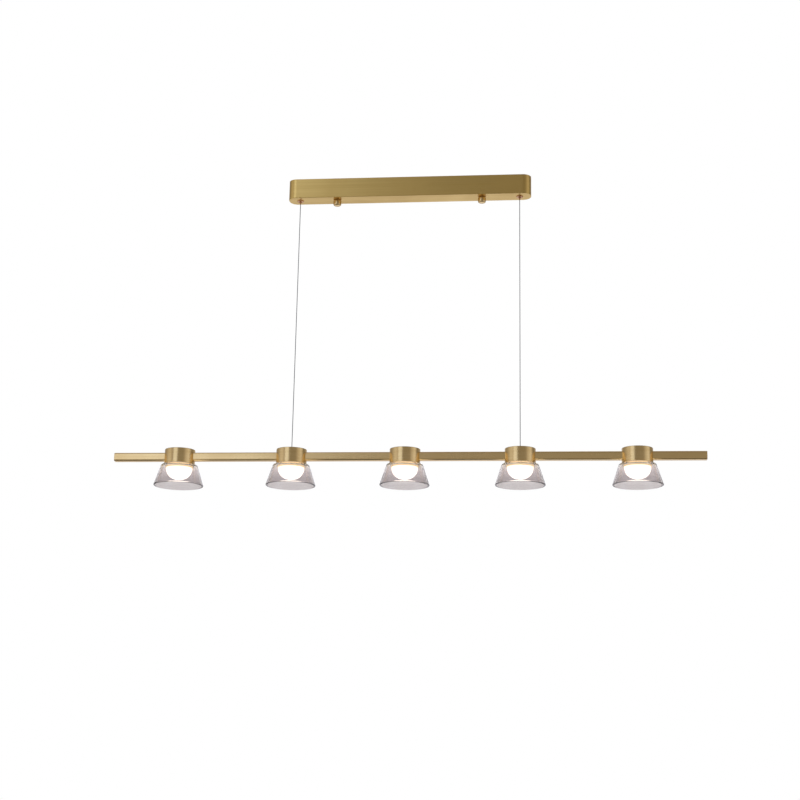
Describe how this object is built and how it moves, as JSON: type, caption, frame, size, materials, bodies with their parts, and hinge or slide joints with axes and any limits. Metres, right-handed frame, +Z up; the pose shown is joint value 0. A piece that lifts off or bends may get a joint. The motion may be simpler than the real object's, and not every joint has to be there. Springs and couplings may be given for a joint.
{
  "type": "linear led pendant",
  "caption": "Linear pendant: a square gold bar with LED heads under open conical glass shades, hung on two wires from a long ceiling canopy.",
  "frame": {"origin": "middle of the ceiling bracket's two screw slots, on the ceiling face", "axes": "+X along the bar, +Z up towards the ceiling, -Y to the front"},
  "size_m": [1.2, 0.1008, 0.6558],
  "materials": {
    "satin_gold": "gold anodised, fine brushed satin",
    "gold_sheet": "gold plated sheet, brushed along its length",
    "copper_plate": "turned, copper plated",
    "zinc_steel": "zinc plated",
    "spring_steel": "bright spring wire",
    "wire_steel": "fine steel rope in a thin clear sleeve",
    "smoke_glass": "clear pressed glass with a light grey tint",
    "frosted_lens": "frosted acrylic, lit from inside",
    "bare_aluminium": "milled",
    "board_white": "white coated aluminium board",
    "driver_white": "moulded, matt",
    "circuit_green": "coated circuit board with its components",
    "nylon_white": "natural nylon",
    "terminal_brass": "bright",
    "lead_sleeve": "PVC sleeve",
    "gasket_rubber": "soft clear silicone"
  },
  "bodies": {
    "canopy": {"mounting_bracket": "zinc_steel", "bracket_studs": "zinc_steel", "stud_lock_nuts": "zinc_steel", "canopy_cover": "gold_sheet", "grip_barrels": "copper_plate", "grip_nuts": "zinc_steel", "driver_case": "driver_white", "driver_board": "circuit_green", "case_screws": "zinc_steel", "terminal_block": "nylon_white", "terminal_screws": "terminal_brass", "canopy_leads": "lead_sleeve"},
    "thumb_nut_left": {"thumb_nut_left": "satin_gold"},
    "thumb_nut_right": {"thumb_nut_right": "satin_gold"},
    "grips": {"grip_swivels": "copper_plate", "wire_tails": "wire_steel", "plunger_spring_left": "spring_steel", "plunger_spring_right": "spring_steel"},
    "release_left": {"plunger_left": "copper_plate"},
    "release_right": {"plunger_right": "copper_plate"},
    "wire_left": {"suspension_wire_left": "wire_steel"},
    "wire_right": {"suspension_wire_right": "wire_steel"},
    "hanger_left": {"wire_ferrule_left": "satin_gold"},
    "hanger_right": {"wire_ferrule_right": "satin_gold"},
    "bar": {"bar_tube": "satin_gold", "bar_end_plugs": "satin_gold", "anchor_bushes": "nylon_white", "bar_conductors": "lead_sleeve", "shade_gaskets": "gasket_rubber", "board_screws": "zinc_steel", "head_cup_1": "satin_gold", "heatsink_1": "bare_aluminium", "led_board_1": "board_white", "collar_1": "satin_gold", "lens_1": "frosted_lens", "glass_shade_1": "smoke_glass", "head_cup_2": "satin_gold", "heatsink_2": "bare_aluminium", "led_board_2": "board_white", "collar_2": "satin_gold", "lens_2": "frosted_lens", "glass_shade_2": "smoke_glass", "head_cup_3": "satin_gold", "heatsink_3": "bare_aluminium", "led_board_3": "board_white", "collar_3": "satin_gold", "lens_3": "frosted_lens", "glass_shade_3": "smoke_glass", "head_cup_4": "satin_gold", "heatsink_4": "bare_aluminium", "led_board_4": "board_white", "collar_4": "satin_gold", "lens_4": "frosted_lens", "glass_shade_4": "smoke_glass", "head_cup_5": "satin_gold", "heatsink_5": "bare_aluminium", "led_board_5": "board_white", "collar_5": "satin_gold", "lens_5": "frosted_lens", "glass_shade_5": "smoke_glass"}
  },
  "joints": [
    {"name": "thumb_nut_left_turn", "type": "hinge", "parent": "canopy", "child": "thumb_nut_left", "pos_m": [-0.153, 0, -0.0483], "axis": [0, 0, 1], "continuous": true},
    {"name": "thumb_nut_right_turn", "type": "hinge", "parent": "canopy", "child": "thumb_nut_right", "pos_m": [0.153, 0, -0.0483], "axis": [0, 0, 1], "continuous": true},
    {"name": "swing", "type": "hinge", "parent": "canopy", "child": "grips", "pos_m": [0, 0, -0.0398], "axis": [1, 0, 0], "range_deg": [-15, 15]},
    {"name": "release_left_press", "type": "slide", "parent": "grips", "child": "release_left", "axis": [0, 0, 1], "range_m": [0, 0.002], "stiffness_N_per_m": 300, "springref_m": -0.003, "deforming": ["plunger_spring_left"]},
    {"name": "release_right_press", "type": "slide", "parent": "grips", "child": "release_right", "axis": [0, 0, 1], "range_m": [0, 0.002], "stiffness_N_per_m": 300, "springref_m": -0.003, "deforming": ["plunger_spring_right"]},
    {"name": "sway", "type": "hinge", "parent": "grips", "child": "wire_left", "pos_m": [-0.232, 0, -0.0494], "axis": [0, 1, 0], "range_deg": [-12, 12]},
    {"name": "sway_right", "type": "hinge", "parent": "grips", "child": "wire_right", "pos_m": [0.232, 0, -0.0494], "axis": [0, 1, 0], "range_deg": [-12, 12]},
    {"name": "height", "type": "slide", "parent": "wire_left", "child": "hanger_left", "axis": [0, 0, 1], "range_m": [0, 0.3], "deforming": ["suspension_wire_left"]},
    {"name": "height_right", "type": "slide", "parent": "wire_right", "child": "hanger_right", "axis": [0, 0, 1], "range_m": [0, 0.3], "deforming": ["suspension_wire_right"]},
    {"name": "bar_level", "type": "hinge", "parent": "hanger_left", "child": "bar", "pos_m": [-0.232, 0, -0.5856], "axis": [0, 1, 0], "range_deg": [-12, 12]}
  ],
  "couplings": [
    {"joint": "sway_right", "follows": "sway", "ratio": 1},
    {"joint": "height_right", "follows": "height", "ratio": 1},
    {"joint": "bar_level", "follows": "sway", "ratio": -1}
  ]
}
